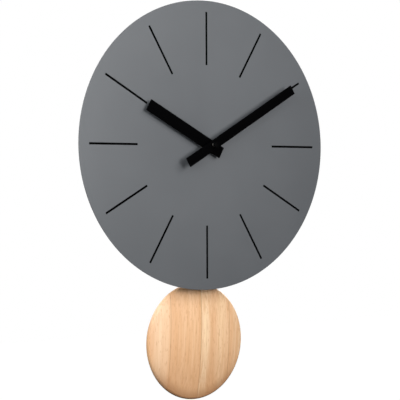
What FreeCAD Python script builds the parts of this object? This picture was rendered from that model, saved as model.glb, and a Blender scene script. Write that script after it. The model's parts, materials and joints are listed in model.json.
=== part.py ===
"""Pendulum wall clock with a thin sheet dial, a battery movement and a wooden disc pendulum.

Frame: +X right, +Z up, +Y into the wall; the dial faces -Y. The origin is the centre of the round hole in
the hanger plate, on the plate's rear face, which is also the plane of the wall. Millimetres.
"""

import FreeCAD, Part
import math
import os
from collections import namedtuple

import Sketcher
from FreeCAD import Placement, Rotation, Vector

PRESSURE_ANGLE = math.radians(20)
ADDENDUM = 0.80
DEDENDUM = 1.15

DIMENSIONS = {
    # the whole clock
    "dial_dia": 340, "dial_thick": 1.0, "dial_face": 48, "dial_hole": 8.2, "dial_edge": 0.3,
    "hanger_rise": 62, "wall_stand_off": 1.2,
    # printed hour lines
    "marker_inner": 94.3, "marker_outer": 156.8, "marker_wide": 2.5, "marker_thick": 0.15, "marker_count": 12,
    # hands; headings are degrees clockwise from twelve
    "hand_thick": 0.8,
    "minute_wide": 11.5, "minute_reach": 134.2, "minute_tail": 41.2, "minute_rise": 15.3,
    "hour_wide": 14, "hour_reach": 94.6, "hour_tail": 19, "hour_rise": 6.6,
    "minute_heading": 59.1, "hour_heading": 298.6,
    "hour_collet_r": 3.5, "hour_flange_r": 5, "minute_collet_r": 2.8, "minute_flange_r": 4,
    "flange_thick": 0.6, "sleeve_long": 1.0, "rivet_thick": 0.5, "nose_r": 2.5, "nose_long": 3.3,
    "cap_r": 3.3, "cap_long": 2.2, "cap_wall": 0.8, "cap_edge": 0.6,
    # clamp of the movement to the dial
    "washer_r": 6.5, "washer_thick": 0.6, "nut_flats": 11, "nut_thick": 2.6,
    "gasket_r": 9, "gasket_thick": 0.6, "bushing_r": 3.9, "bushing_long": 5.5, "bushing_collar_r": 5.5,
    # movement shells; the case spans down to case_low, with the battery bay between divider walls
    "case_half": 28, "case_top": 28, "case_low": -80, "case_wall": 1.6, "case_floor": 2.0, "case_corner": 3,
    "bay_top": -16.4, "bay_low": -32.6, "divider": 1.2, "train_deep": 13.2, "drive_deep": 7,
    "cover_thick": 1.6, "drive_cover_thick": 1.2, "plate_level": 6.6, "plate_thick": 1.2,
    "post_r": 2, "post_side": 24, "post_top": 8, "post_low": -11.5,
    "stator_post_r": 2, "stator_post_left": -19, "stator_post_left_z": 21, "stator_post_right": 21.5,
    "stator_post_right_z": 15, "slot_wide": 1.6, "slot_over": 1,
    # bearing plate over the posts
    "plate_gap": 0.3, "plate_low": -14.8, "plate_step_x": -8, "plate_step_z": 16.6, "plate_top": 19,
    "plate_hole_r": 2.3, "stem_clear": 0.6,
    # running fits
    "pivot_r": 0.5, "pivot_play": 0.05, "pivot_deep": 1.0, "end_play": 0.2,
    "pipe_r": 2.5, "pipe_play": 0.075, "arbor_r": 1.5, "arbor_thread_r": 1.25, "journal_r": 1.3,
    "stem_r": 1.25, "hour_pipe_proud": 1.1, "bore_over": 0.5,
    # wheel train: distances between arbors, and bearings in degrees from +X towards +Z
    "tooth_play": 0.06, "fast_shift": 0.4, "step_shift": 0.4, "slow_shift": 0.5, "last_shift": 0.5,
    "cannon_shift": 0.3, "hour_shift": 0.4,
    "third_reach": 12.7, "third_bearing": 16, "inter_reach": 12.6, "inter_bearing": 135,
    "rotor_reach": 9, "rotor_bearing": 135, "set_reach": 13.5, "set_bearing": 195.5,
    "rotor_teeth": 10, "inter_teeth": 50, "inter_pinion": 10, "seconds_teeth": 60, "seconds_pinion": 8,
    "third_teeth": 60, "third_pinion": 8, "centre_teeth": 64, "cannon_teeth": 12, "minute_teeth": 36,
    "minute_pinion": 10, "hour_teeth": 40,
    "hour_level": 0.5, "hour_width": 1.2, "motion_level": 0.3, "motion_width": 1.6,
    "minute_level": 2.5, "minute_width": 1.0, "cannon_level": 2.2, "cannon_width": 1.6,
    "collar_r": 2.9, "collar_level": 3.8, "collar_play": 0.1, "centre_level": 4.6, "centre_width": 1.0,
    "clutch_r": 4.2, "clutch_level": 5.7, "clutch_thick": 0.4,
    "third_pinion_level": 4.3, "pinion_width": 1.6, "third_level": 8.5, "rim_width": 0.8,
    "seconds_pinion_level": 8.2, "short_pinion": 1.3, "seconds_level": 10.0,
    "inter_pinion_level": 9.7, "inter_level": 11.5, "rotor_pinion_level": 11.3,
    "magnet_level": 3.4, "magnet_thick": 2.6, "magnet_r": 3, "rotor_hub_r": 1.5, "rotor_hub_over": 0.4,
    "seconds_hub_r": 1.1, "inter_hub_r": 1.4, "hub_long": 2.6, "minute_hub_r": 2.0, "minute_hub_long": 3.2,
    # setting knob
    "knob_r": 6.5, "knob_gap": 0.5, "knob_long": 3.8, "knob_notch": 0.7, "knob_notches": 18,
    # stepping motor
    "stator_level": 4.2, "stator_thick": 1.0, "stator_hole": 3.7, "stator_left": -22.5, "stator_left_in": -8,
    "stator_right": 23.5, "stator_right_in": 19.5, "stator_low": 9, "stator_neck": 13, "stator_yoke": 16.5,
    "stator_top": 24.5, "core_high": 3.2, "core_z": 21.6,
    "core_left": -12, "core_right": 23.5, "coil_left": -5.5, "coil_right": 18.5,
    "motor_flange_r": 4.0, "motor_coil_r": 3.7, "motor_tube_r": 2.3, "motor_bore_r": 1.75, "flange_wide": 0.8,
    # battery, AA size, and its contacts
    "battery_r": 7.25, "battery_long": 49.2, "battery_nub_r": 2.75, "battery_nub": 1.0, "battery_z": -24.5,
    "battery_left": -24.9, "battery_gap": 0.3, "battery_edge": 0.8,
    "contact_thick": 0.4, "contact_high": 10, "contact_low": -52, "contact_deep": 5.8,
    "contact_level": 1, "contact_play": 0.2, "contact_bend": 3, "contact_lip": 0.6,
    # electronics in the lower half of the case
    "board_half": 22, "board_top": -43, "board_low": -59, "board_level": 1.6, "board_thick": 1.0,
    "crystal_r": 1.0, "crystal_long": 6.2, "crystal_x": 7, "crystal_z": -48,
    "chip_r": 3.2, "chip_high": 1.3, "chip_waist_r": 2.6, "chip_top_r": 1.3, "chip_dome": 0.4,
    "chip_x": -7, "chip_z": -51,
    "drive_z": -70, "drive_flange_r": 7.5, "drive_coil_r": 7.1, "drive_tube_r": 2.2, "drive_long": 6.8,
    # pendulum
    "swing_limit": 8, "lever_z": -38.5, "lever_gap": 1.0, "lever_thick": 2.4, "lever_hub_r": 4,
    "lever_hub_long": 4, "lever_arm": 6, "lever_boss_r": 6.5, "lever_bore_play": 0.05, "pin_r": 1.0,
    "pin_boss_r": 3, "pin_over": 0.6, "clip_r": 2.4, "clip_thick": 0.5,
    "lever_magnet_r": 4.5, "lever_magnet_bore": 0.6, "lever_magnet_thick": 2.0,
    "peg_z": -49, "peg_r": 1.6, "peg_long": 4.2, "peg_head_r": 2.7, "peg_head": 0.8,
    "stop_wide": 2, "stop_play": 0.5, "stop_high": 8, "stop_deep": 4,
    "rod_r": 1.0, "rod_eye_play": 0.1, "rod_y": -20.2, "rod_crank_top": -60, "rod_crank_bend": 12,
    "bob_r": 69.3, "bob_thick": 19, "bob_z": -232.8, "bob_crown": 380, "bob_turn": 3.5, "bob_hole_deep": 22,
    # housing behind the dial
    "house_half": 66, "house_top": 74, "house_low": -90, "house_wall": 2.2, "house_corner": 12,
    "house_flange": 10, "flange_corner": 18, "house_edge": 2.0,
    "window_half": 36, "window_top": 36, "window_low": -66, "rod_slot_half": 30, "rod_slot_front": -40,
    "rod_slot_back": -8, "stud_x": 71, "stud_top": 56, "stud_low": -72, "stud_r": 1.5, "stud_long": 8,
    "stud_play": 0.2, "stud_nut_flats": 5.5, "stud_nut_thick": 2.4,
    "pad_r": 6, "pad_x": 52, "pad_top": 60, "pad_low": -78,
    # hanger plate with its keyhole
    "hanger_half": 23, "hanger_up": 17, "hanger_down": 10, "hanger_thick": 1.2, "hanger_corner": 3,
    "hole_r": 4.5, "slot_half": 2.1, "slot_up": 10, "recess_side": 7, "recess_up": 13,
    "screw_x": 16, "screw_r": 1.5, "screw_head_r": 2.6, "screw_long": 7, "screw_z": 4, "screw_boss_r": 3.2,
    "screw_boss": 4, "cut_over": 1,
}

doc = FreeCAD.newDocument("PendulumClock")
sheet = doc.addObject("Spreadsheet::Sheet", "Dims")
for row_number, (alias, number) in enumerate(DIMENSIONS.items(), start=1):
    sheet.set(f"A{row_number}", alias)
    sheet.set(f"B{row_number}", str(number))
    sheet.setAlias(f"B{row_number}", alias)
doc.recompute()

Circle = namedtuple("Circle", "x z radius")
Mesh = namedtuple("Mesh", "module shift phase")
finished = []


def value(expression):
    """The number that an expression over the sheet works out to."""
    result = sheet.evalExpression(expression)
    return float(getattr(result, "Value", result))


def size(alias):
    return float(sheet.get(alias))


# Planes across the clock, as expressions. Levels inside the movement are counted from the floor of its case.
DIAL_FACE = "-Dims.dial_face"
DIAL_BACK = "-Dims.dial_face + Dims.dial_thick"
CASE_FACE = f"{DIAL_BACK} + Dims.gasket_thick"
CASE_FLOOR = f"{CASE_FACE} + Dims.case_floor"
TRAIN_COVER = f"{CASE_FLOOR} + Dims.train_deep"
DRIVE_COVER = f"{CASE_FLOOR} + Dims.drive_deep"
LEVER_FACE = f"{DRIVE_COVER} + Dims.drive_cover_thick + Dims.lever_gap"
LEVER_BACK = f"{LEVER_FACE} + Dims.lever_thick"
MINUTE_FACE = f"{DIAL_FACE} - Dims.minute_rise"
HOUR_FACE = f"{DIAL_FACE} - Dims.hour_rise"
NOSE_FACE = f"{MINUTE_FACE} - Dims.rivet_thick - Dims.nose_long"
HOUSE_BACK = "-Dims.wall_stand_off"


def level(alias):
    return f"{CASE_FLOOR} + Dims.{alias}"


# ---------------------------------------------------------------- ways of making a piece


def new_body(label, x="0", z="0"):
    """An empty body whose own origin lies on the hand arbor's level, at (x, z) from the hand arbor."""
    body = doc.addObject("PartDesign::Body", label)
    body.Label = label
    body.AllowCompound = True
    body.setExpression("Placement.Base.x", x)
    body.setExpression("Placement.Base.z", f"{z} - Dims.hanger_rise")
    return body


def new_sketch(body, role, offset="0"):
    sketch = body.newObject("Sketcher::SketchObject", f"{body.Name}_sketch")
    plane = next(item for item in body.Origin.OriginFeatures if item.Role == role)
    sketch.AttachmentSupport = [(plane, "")]
    sketch.MapMode = "FlatFace"
    sketch.setExpression("AttachmentOffset.Base.z", offset)
    return sketch


def bind(sketch, kind, *args, expression):
    index = sketch.addConstraint(Sketcher.Constraint(kind, *args, value(expression)))
    sketch.setExpression(f"Constraints[{index}]", expression)


def draw_circle(sketch, circle):
    centre = Vector(value(circle.x), value(circle.z), 0)
    edge = sketch.addGeometry(Part.Circle(centre, Vector(0, 0, 1), value(circle.radius)))
    bind(sketch, "DistanceX", -1, 1, edge, 3, expression=circle.x)
    bind(sketch, "DistanceY", -1, 1, edge, 3, expression=circle.z)
    bind(sketch, "Radius", edge, expression=circle.radius)


def draw_polygon(sketch, points):
    corners = [Vector(value(x), value(z), 0) for x, z in points]
    ends = corners[1:] + corners[:1]
    edges = [sketch.addGeometry(Part.LineSegment(*pair)) for pair in zip(corners, ends)]
    for edge, following, (x, z) in zip(edges, edges[1:] + edges[:1], points):
        sketch.addConstraint(Sketcher.Constraint("Coincident", edge, 2, following, 1))
        bind(sketch, "DistanceX", -1, 1, edge, 1, expression=x)
        bind(sketch, "DistanceY", -1, 1, edge, 1, expression=z)


def rectangle(left, low, right, high):
    return [(left, low), (right, low), (right, high), (left, high)]


def front_sketch(body, outlines, front):
    """A sketch seen from the front, in the plane y = front."""
    sketch = new_sketch(body, "XZ_Plane", f"-({front})")
    for outline in outlines:
        if isinstance(outline, Circle):
            draw_circle(sketch, outline)
        else:
            draw_polygon(sketch, outline)
    return sketch


def add_slab(body, outlines, front, thick):
    """Material from the plane y = front towards the wall."""
    pad = body.newObject("PartDesign::Pad", f"{body.Name}_slab")
    pad.Profile = front_sketch(body, outlines, front)
    pad.Reversed = True
    pad.setExpression("Length", thick)
    return pad


def cut_slab(body, outlines, front, deep):
    """A recess from the plane y = front towards the wall."""
    before = solid_volume(body)
    pocket = body.newObject("PartDesign::Pocket", f"{body.Name}_recess")
    pocket.Profile = front_sketch(body, outlines, front)
    pocket.setExpression("Length", deep)
    if solid_volume(body) >= before:
        raise RuntimeError(f"{pocket.Name} takes nothing away from {body.Label}")
    return pocket


def solid_volume(body):
    doc.recompute()
    return body.Shape.Volume


def turn(body, profile):
    """Turns a closed profile of (radius, y) points about the body's Y axis."""
    sketch = new_sketch(body, "XY_Plane")
    draw_polygon(sketch, profile)
    revolution = body.newObject("PartDesign::Revolution", f"{body.Name}_turned")
    revolution.Profile = sketch
    revolution.ReferenceAxis = (sketch, ["V_Axis"])
    revolution.Angle = 360
    return revolution


def turned_piece(label, profile, x="0", z="0"):
    body = new_body(label, x, z)
    turn(body, profile)
    return done(body)


def ring(label, inner, outer, front, thick, x="0", z="0"):
    back = f"{front} + {thick}"
    return turned_piece(label, [(inner, front), (outer, front), (outer, back), (inner, back)], x, z)


def slab_piece(label, outlines, front, thick, x="0", z="0"):
    body = new_body(label, x, z)
    add_slab(body, outlines, front, thick)
    return done(body)


def edge_names(shape, wanted):
    return [f"Edge{number}" for number, edge in enumerate(shape.Edges, start=1) if wanted(edge)]


def dress(body, kind, wanted, expression):
    """Adds a Fillet or Chamfer on the edges that the test picks."""
    doc.recompute()
    base = body.Tip
    names = edge_names(base.Shape, wanted)
    if not names:
        raise RuntimeError(f"{body.Label} has no such edge")
    feature = body.newObject(f"PartDesign::{kind}", f"{body.Name}_{kind.lower()}")
    feature.Base = (base, names)
    feature.setExpression("Radius" if kind == "Fillet" else "Size", expression)
    return feature


def runs_along_y(edge):
    return isinstance(edge.Curve, Part.Line) and abs(edge.tangentAt(edge.FirstParameter).y) > 0.99


def circle_at(y, radius):
    """A test for round edges of one radius in one plane across the clock."""
    def wanted(edge):
        if not isinstance(edge.Curve, Part.Circle):
            return False
        return abs(edge.Curve.Radius - radius) < 1e-3 and abs(edge.Curve.Center.y - y) < 1e-3
    return wanted


def repeat_round(body, feature, count):
    pattern = body.newObject("PartDesign::PolarPattern", f"{body.Name}_pattern")
    axis = next(item for item in body.Origin.OriginFeatures if item.Role == "Y_Axis")
    pattern.Originals = [feature]
    pattern.Axis = (axis, [""])
    pattern.Angle = 360
    pattern.setExpression("Occurrences", count)
    body.Tip = pattern


def done(piece):
    finished.append(piece)
    return piece


def hexagon(flats):
    """Corners of a hexagon, given its size across the flats."""
    reach = f"({flats}) / 2 / cos(30)"
    return [(f"{reach} * cos({angle})", f"{reach} * sin({angle})") for angle in range(0, 360, 60)]


def at_reach(reach, bearing, x="0", z="0"):
    """The point at a distance and bearing from another, both as expressions."""
    return f"{x} + Dims.{reach} * cos(Dims.{bearing})", f"{z} + Dims.{reach} * sin(Dims.{bearing})"


def cylinder(name, radius, front, long, x="0", z="0"):
    """A plain cylinder along +Y from the plane y = front."""
    rod = doc.addObject("Part::Cylinder", name)
    rod.Placement = Placement(Vector(), Rotation(Vector(1, 0, 0), -90))
    rod.setExpression("Radius", radius)
    rod.setExpression("Height", long)
    rod.setExpression("Placement.Base.x", x)
    rod.setExpression("Placement.Base.y", front)
    rod.setExpression("Placement.Base.z", z)
    return rod


def fused(name, pieces):
    union = doc.addObject("Part::MultiFuse", name)
    union.Shapes = pieces
    return union


def bored(name, piece, tool):
    cut = doc.addObject("Part::Cut", name)
    cut.Base = piece
    cut.Tool = tool
    return cut


def placed(piece, x="0", z="0"):
    """Stands a fused or cut piece at (x, z) from the hand arbor and marks it finished."""
    piece.setExpression("Placement.Base.x", x)
    piece.setExpression("Placement.Base.z", f"{z} - Dims.hanger_rise")
    return done(piece)


# ---------------------------------------------------------------- toothed wheels


def polar(radius, angle):
    return Vector(radius * math.cos(angle), 0, radius * math.sin(angle))


def involute(angle):
    return math.tan(angle) - angle


def tooth_outline(teeth, module_size, shift, phase):
    """Closed outline of an involute wheel in the plane y = 0, with one tooth centred on the phase angle."""
    pitch_r = teeth * module_size / 2
    base_r = pitch_r * math.cos(PRESSURE_ANGLE)
    root_r = pitch_r - module_size * (DEDENDUM - shift)
    tip_r = pitch_r + module_size * (ADDENDUM + shift)
    half_tooth = module_size * (math.pi / 4 + shift * math.tan(PRESSURE_ANGLE)) - size("tooth_play") / 2

    def half_angle(radius):
        pressure_here = math.acos(min(1.0, base_r / radius))
        return half_tooth / pitch_r + involute(PRESSURE_ANGLE) - involute(pressure_here)

    flank_start = max(root_r, base_r)
    flank_middle = (flank_start + tip_r) / 2
    edges = []
    for number in range(teeth):
        centre = phase + 2 * math.pi * number / teeth
        next_centre = centre + 2 * math.pi / teeth
        foot_angle = half_angle(flank_start)
        rising = [polar(r, centre - half_angle(r)) for r in (flank_start, flank_middle, tip_r)]
        falling = [polar(r, centre + half_angle(r)) for r in (tip_r, flank_middle, flank_start)]
        root_end = polar(root_r, centre + foot_angle)
        next_root = polar(root_r, next_centre - foot_angle)
        if root_r < base_r:
            edges.append(Part.LineSegment(polar(root_r, centre - foot_angle), rising[0]))
        edges.append(Part.Arc(*rising))
        edges.append(Part.Arc(rising[2], polar(tip_r, centre), falling[0]))
        edges.append(Part.Arc(*falling))
        if root_r < base_r:
            edges.append(Part.LineSegment(falling[2], root_end))
        edges.append(Part.Arc(root_end, polar(root_r, (centre + next_centre) / 2), next_root))
    return Part.Wire([edge.toShape() for edge in edges])


def toothed_rim(name, teeth, module_size, shift, phase, level_alias, width_alias):
    """A toothed disc about the Y axis; its teeth come from a formula, so its shape is set directly."""
    outline = tooth_outline(teeth, module_size, shift, phase)
    rim = doc.addObject("Part::Feature", name)
    rim.Shape = Part.Face(outline).extrude(Vector(0, size(width_alias), 0))
    rim.setExpression("Placement.Base.y", level(level_alias))
    return rim


def mesh_phase(teeth, phase, other_teeth, bearing):
    """Phase that puts the other wheel's gap on this wheel's tooth; bearing runs from this wheel to it."""
    turned_teeth = teeth * (phase - bearing) / (2 * math.pi)
    return bearing + math.pi + 2 * math.pi / other_teeth * (0.5 - turned_teeth)


def teeth_of(alias):
    return int(size(alias))


def bearing_of(alias):
    return math.radians(size(alias))


def mesh_of(reach_alias, bearing, driver_alias, driver_phase, follower_alias, shift_alias):
    """Module and profile shift of two wheels that mesh at rest, and the phase of the one that follows."""
    driver = teeth_of(driver_alias)
    follower = teeth_of(follower_alias)
    module_size = 2 * size(reach_alias) / (driver + follower)
    return Mesh(module_size, size(shift_alias), mesh_phase(driver, driver_phase, follower, bearing))


def pinion(name, teeth_alias, mesh, phase, level_alias, width_alias):
    """The smaller wheel of a pair; its teeth stand further out."""
    return toothed_rim(name, teeth_of(teeth_alias), mesh.module, mesh.shift, phase, level_alias, width_alias)


def wheel_rim(name, teeth_alias, mesh, phase, level_alias, width_alias):
    """The larger wheel of a pair; its teeth stand further in."""
    return toothed_rim(name, teeth_of(teeth_alias), mesh.module, -mesh.shift, phase, level_alias, width_alias)


# ---------------------------------------------------------------- dial and hands


def make_dial():
    body = new_body("dial_plate")
    outline = [Circle("0", "0", "Dims.dial_dia / 2"), Circle("0", "0", "Dims.dial_hole / 2")]
    add_slab(body, outline, DIAL_FACE, "Dims.dial_thick")
    dress(body, "Fillet", circle_at(value(DIAL_FACE), size("dial_dia") / 2), "Dims.dial_edge")
    done(body)


def make_hour_markers():
    body = new_body("hour_markers")
    half = "Dims.marker_wide / 2"
    bar = rectangle(f"-{half}", "Dims.marker_inner", half, "Dims.marker_outer")
    line = add_slab(body, [bar], f"{DIAL_FACE} - Dims.marker_thick", "Dims.marker_thick")
    repeat_round(body, line, "Dims.marker_count")
    done(body)


def make_hand(name, face):
    """A straight flat bar, stamped from sheet, with a round hole for its collet."""
    body = new_body(f"{name}_hand")
    half = f"Dims.{name}_wide / 2"
    bar = rectangle(f"-{half}", f"-Dims.{name}_tail", half, f"Dims.{name}_reach")
    add_slab(body, [bar, Circle("0", "0", f"Dims.{name}_collet_r")], face, "Dims.hand_thick")
    body.Placement = Placement(body.Placement.Base, Rotation(Vector(0, 1, 0), size(f"{name}_heading")))
    body.setExpression("Placement.Rotation.Angle", f"Dims.{name}_heading")
    done(body)


def make_collet(name, face, bore, nose=()):
    """A riveted bush: a flange on each side of the hand, a sleeve behind and perhaps a nose in front."""
    front = f"{face} - Dims.rivet_thick"
    back = f"{face} + Dims.hand_thick"
    flange_back = f"{back} + Dims.flange_thick"
    sleeve_back = f"{flange_back} + Dims.sleeve_long"
    outer = f"Dims.{name}_collet_r"
    flange = f"Dims.{name}_flange_r"
    start = [(bore, nose[0][1]), *nose, (nose[-1][0], front)] if nose else [(bore, front)]
    turned_piece(f"{name}_hand_collet", [
        *start, (flange, front), (flange, face), (outer, face), (outer, back), (flange, back),
        (flange, flange_back), (outer, flange_back), (outer, sleeve_back), (bore, sleeve_back),
    ])


def make_cap_nut():
    back = NOSE_FACE
    front = f"{back} - Dims.cap_long"
    bottom = f"{front} + Dims.cap_wall"
    body = new_body("hand_cap_nut")
    turn(body, [
        ("0", front), ("Dims.cap_r", front), ("Dims.cap_r", back), ("Dims.arbor_thread_r", back),
        ("Dims.arbor_thread_r", bottom), ("0", bottom),
    ])
    dress(body, "Fillet", circle_at(value(front), size("cap_r")), "Dims.cap_edge")
    done(body)


def make_dial_clamp():
    washer_front = f"{DIAL_FACE} - Dims.washer_thick"
    bore = "Dims.bushing_r"
    ring("dial_washer", bore, "Dims.washer_r", washer_front, "Dims.washer_thick")
    nut = [hexagon("Dims.nut_flats"), Circle("0", "0", bore)]
    slab_piece("dial_nut", nut, f"{washer_front} - Dims.nut_thick", "Dims.nut_thick")
    ring("dial_gasket", bore, "Dims.gasket_r", DIAL_BACK, "Dims.gasket_thick")


# ---------------------------------------------------------------- movement shells

THIRD_AT = at_reach("third_reach", "third_bearing")
INTER_AT = at_reach("inter_reach", "inter_bearing")
ROTOR_AT = at_reach("rotor_reach", "rotor_bearing", *INTER_AT)
SET_AT = at_reach("set_reach", "set_bearing")
PIVOT_HOLE = "Dims.pivot_r + Dims.pivot_play"
POSTS = [
    Circle("Dims.post_side", "Dims.post_top", "Dims.post_r"),
    Circle("Dims.post_side", "Dims.post_low", "Dims.post_r"),
    Circle("-Dims.post_side", "Dims.post_low", "Dims.post_r"),
]
STATOR_POSTS = [
    Circle("Dims.stator_post_left", "Dims.stator_post_left_z", "Dims.stator_post_r"),
    Circle("Dims.stator_post_right", "Dims.stator_post_right_z", "Dims.stator_post_r"),
]


def inside(low, high):
    """The clear rectangle between the case's side walls, from low to high."""
    return rectangle("-Dims.case_half + Dims.case_wall", low, "Dims.case_half - Dims.case_wall", high)


def across_case(low, high):
    return rectangle("-Dims.case_half", low, "Dims.case_half", high)


def make_movement_case():
    """Open tray: wheel train on top, battery bay across the middle, electronics and drive coil below."""
    body = new_body("movement_case")
    wall = "Dims.case_wall"
    train_low = "Dims.bay_top + Dims.divider"
    drive_top = "Dims.bay_low - Dims.divider"
    add_slab(body, [across_case("Dims.case_low", "Dims.case_top")], CASE_FACE, "Dims.case_floor")
    add_slab(body, [across_case(drive_top, "Dims.case_top")], CASE_FLOOR, "Dims.train_deep")
    add_slab(body, [across_case("Dims.case_low", drive_top)], CASE_FLOOR, "Dims.drive_deep")
    dress(body, "Fillet", corner_of_case, "Dims.case_corner")
    cut_slab(body, [inside(train_low, f"Dims.case_top - {wall}")], CASE_FLOOR, "Dims.train_deep")
    cut_slab(body, [inside("Dims.bay_low", "Dims.bay_top")], CASE_FLOOR, "Dims.train_deep")
    cut_slab(body, [inside(f"Dims.case_low + {wall}", drive_top)], CASE_FLOOR, "Dims.drive_deep")
    side = "(Dims.case_half - Dims.case_wall)"
    slot_low, slot_top = f"{drive_top} - Dims.slot_over", "Dims.bay_low + Dims.slot_over"
    slots = [
        rectangle(f"{side} - Dims.slot_wide", slot_low, side, slot_top),
        rectangle(f"-{side}", slot_low, f"-{side} + Dims.slot_wide", slot_top),
    ]
    cut_slab(body, slots, CASE_FLOOR, "Dims.train_deep")
    add_slab(body, POSTS, CASE_FLOOR, "Dims.plate_level")
    add_slab(body, STATOR_POSTS, CASE_FLOOR, "Dims.stator_level")
    add_slab(body, [Circle("0", "Dims.lever_z", "Dims.pin_boss_r")], CASE_FLOOR, "Dims.drive_deep")
    cut_slab(body, [Circle("0", "Dims.lever_z", "Dims.pin_r")], CASE_FLOOR, "Dims.drive_deep")
    cut_slab(body, [Circle("0", "0", "Dims.bushing_collar_r")], CASE_FACE, "Dims.case_floor")
    sockets = [Circle(x, z, PIVOT_HOLE) for x, z in (THIRD_AT, ROTOR_AT, SET_AT)]
    cut_slab(body, sockets, f"{CASE_FLOOR} - Dims.pivot_deep - Dims.pivot_play", "Dims.case_floor")
    done(body)


def corner_of_case(edge):
    """True for the four upright edges at the corners of the case's outline."""
    if not runs_along_y(edge):
        return False
    box = edge.BoundBox
    at_side = abs(abs(box.XMax) - size("case_half")) < 1e-3
    at_end = min(abs(box.ZMax - size("case_top")), abs(box.ZMax - size("case_low"))) < 1e-3
    return at_side and at_end


def make_covers():
    train = new_body("train_cover")
    add_slab(train, [across_case("Dims.bay_top", "Dims.case_top")], TRAIN_COVER, "Dims.cover_thick")
    sockets = [Circle(x, z, PIVOT_HOLE) for x, z in (("0", "0"), THIRD_AT, INTER_AT, ROTOR_AT)]
    cut_slab(train, sockets, TRAIN_COVER, "Dims.pivot_deep + Dims.pivot_play")
    cut_slab(train, [Circle(*SET_AT, "Dims.stem_r + Dims.pivot_play")], TRAIN_COVER, "Dims.cover_thick")
    done(train)

    drive = new_body("drive_cover")
    cover_back = f"{DRIVE_COVER} + Dims.drive_cover_thick"
    low = "Dims.bay_low - Dims.divider"
    add_slab(drive, [across_case("Dims.case_low", low)], DRIVE_COVER, "Dims.drive_cover_thick")
    cut_slab(drive, [Circle("0", "Dims.lever_z", "Dims.pin_r")], DRIVE_COVER, "Dims.drive_cover_thick")
    swing = "(Dims.lever_z - Dims.drive_z) * sin(Dims.swing_limit)"
    stop = f"Dims.lever_boss_r + {swing} + Dims.stop_play"
    for near, far in ((stop, f"{stop} + Dims.stop_wide"), (f"-({stop} + Dims.stop_wide)", f"-({stop})")):
        rib = rectangle(near, "Dims.drive_z - Dims.stop_high / 2", far, "Dims.drive_z + Dims.stop_high / 2")
        add_slab(drive, [rib], cover_back, "Dims.stop_deep")
    done(drive)


def make_train_plate():
    """Flat bearing plate over the posts; it steps up at the left to reach past the rotor."""
    body = new_body("train_plate")
    side = "(Dims.case_half - Dims.case_wall - Dims.plate_gap)"
    low, step, top = "Dims.plate_low", "Dims.plate_step_z", "Dims.plate_top"
    step_x = "Dims.plate_step_x"
    right_edge = [(side, low), (side, step), (step_x, step), (step_x, top)]
    outline = [(f"-{side}", low), *right_edge, (f"-{side}", top)]
    add_slab(body, [outline], level("plate_level"), "Dims.plate_thick")
    holes = [
        Circle("0", "0", "Dims.journal_r + Dims.pivot_play"),
        Circle(*INTER_AT, PIVOT_HOLE),
        Circle(*THIRD_AT, "Dims.plate_hole_r"),
        Circle(*ROTOR_AT, "Dims.plate_hole_r"),
        Circle(*SET_AT, "Dims.stem_r + Dims.stem_clear"),
    ]
    cut_slab(body, holes, level("plate_level"), "Dims.plate_thick")
    done(body)


def make_bushing():
    """Brass insert: threaded nose through the dial, collar moulded into the case floor."""
    nose = f"{CASE_FACE} - Dims.bushing_long"
    bore = "Dims.pipe_r + Dims.pipe_play"
    turned_piece("threaded_bushing", [
        (bore, nose), ("Dims.bushing_r", nose), ("Dims.bushing_r", CASE_FACE),
        ("Dims.bushing_collar_r", CASE_FACE), ("Dims.bushing_collar_r", CASE_FLOOR), (bore, CASE_FLOOR),
    ])


# ---------------------------------------------------------------- wheels

REAR_PIVOT = f"{TRAIN_COVER} + Dims.pivot_deep"
FRONT_PIVOT = f"{CASE_FLOOR} - Dims.pivot_deep"


def arbor(name, radius, front, back):
    return cylinder(name, radius, front, f"({back}) - ({front})")


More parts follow.
